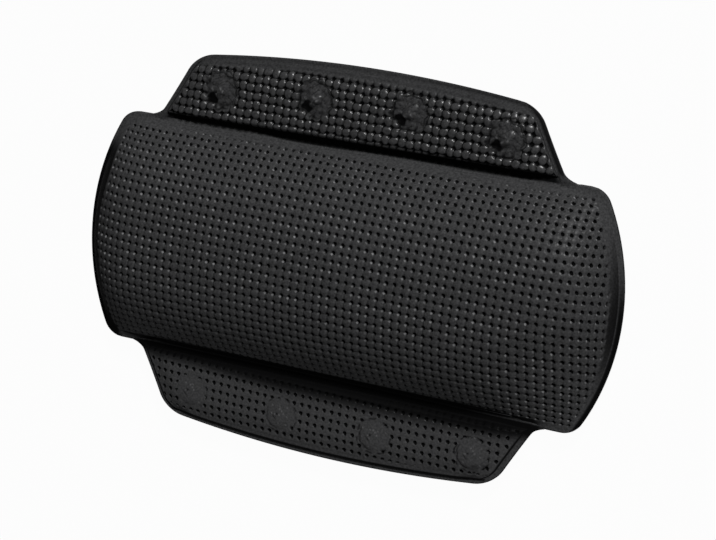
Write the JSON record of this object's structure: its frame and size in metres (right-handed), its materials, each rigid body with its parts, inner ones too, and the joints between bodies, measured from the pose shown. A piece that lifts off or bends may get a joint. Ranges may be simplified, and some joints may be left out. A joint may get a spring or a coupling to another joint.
{
  "type": "bath pillow",
  "caption": "Half-round vinyl-covered foam pillow with a hinged flap along each long side and suction cups behind the flaps that hold it to a bathtub wall.",
  "frame": {"origin": "under the middle of the pad, on the plane of the suction cups' lips", "axes": "+X along the roll, +Y across it towards the upper flap, +Z out of the padded front"},
  "size_m": [0.317, 0.216, 0.0399],
  "materials": {
    "embossed_vinyl": "satin foamed vinyl embossed with a basket weave",
    "back_vinyl": "fine-grained matt vinyl sheet",
    "foam": "open-cell cushion foam",
    "soft_pvc": "semi-gloss soft moulding"
  },
  "bodies": {
    "pad": {"pad_front_cover": "embossed_vinyl", "pad_foam_core": "foam", "pad_back_sheet": "back_vinyl", "upper_weld_web": "embossed_vinyl", "lower_weld_web": "embossed_vinyl"},
    "upper_flap": {"upper_flap_front_cover": "embossed_vinyl", "upper_flap_foam": "foam", "upper_flap_back_sheet": "back_vinyl"},
    "lower_flap": {"lower_flap_front_cover": "embossed_vinyl", "lower_flap_foam": "foam", "lower_flap_back_sheet": "back_vinyl"},
    "upper_cup_1": {"upper_suction_cup_1": "soft_pvc"},
    "upper_cup_2": {"upper_suction_cup_2": "soft_pvc"},
    "upper_cup_3": {"upper_suction_cup_3": "soft_pvc"},
    "upper_cup_4": {"upper_suction_cup_4": "soft_pvc"},
    "lower_cup_1": {"lower_suction_cup_1": "soft_pvc"},
    "lower_cup_2": {"lower_suction_cup_2": "soft_pvc"},
    "lower_cup_3": {"lower_suction_cup_3": "soft_pvc"},
    "lower_cup_4": {"lower_suction_cup_4": "soft_pvc"}
  },
  "joints": [
    {"name": "upper_flap_fold", "type": "hinge", "parent": "pad", "child": "upper_flap", "pos_m": [0, 0.066, 0.01085], "axis": [1, 0, 0], "range_deg": [-90, 60], "stiffness_Nm_per_rad": 0.3},
    {"name": "lower_flap_fold", "type": "hinge", "parent": "pad", "child": "lower_flap", "pos_m": [0, -0.066, 0.01085], "axis": [-1, 0, 0], "range_deg": [-90, 60], "stiffness_Nm_per_rad": 0.3},
    {"name": "upper_cup_1_float", "type": "slide", "parent": "upper_flap", "child": "upper_cup_1", "axis": [0, 0, -1], "range_m": [0, 0.0012]},
    {"name": "upper_cup_2_float", "type": "slide", "parent": "upper_flap", "child": "upper_cup_2", "axis": [0, 0, -1], "range_m": [0, 0.0012]},
    {"name": "upper_cup_3_float", "type": "slide", "parent": "upper_flap", "child": "upper_cup_3", "axis": [0, 0, -1], "range_m": [0, 0.0012]},
    {"name": "upper_cup_4_float", "type": "slide", "parent": "upper_flap", "child": "upper_cup_4", "axis": [0, 0, -1], "range_m": [0, 0.0012]},
    {"name": "lower_cup_1_float", "type": "slide", "parent": "lower_flap", "child": "lower_cup_1", "axis": [0, 0, -1], "range_m": [0, 0.0012]},
    {"name": "lower_cup_2_float", "type": "slide", "parent": "lower_flap", "child": "lower_cup_2", "axis": [0, 0, -1], "range_m": [0, 0.0012]},
    {"name": "lower_cup_3_float", "type": "slide", "parent": "lower_flap", "child": "lower_cup_3", "axis": [0, 0, -1], "range_m": [0, 0.0012]},
    {"name": "lower_cup_4_float", "type": "slide", "parent": "lower_flap", "child": "lower_cup_4", "axis": [0, 0, -1], "range_m": [0, 0.0012]}
  ]
}
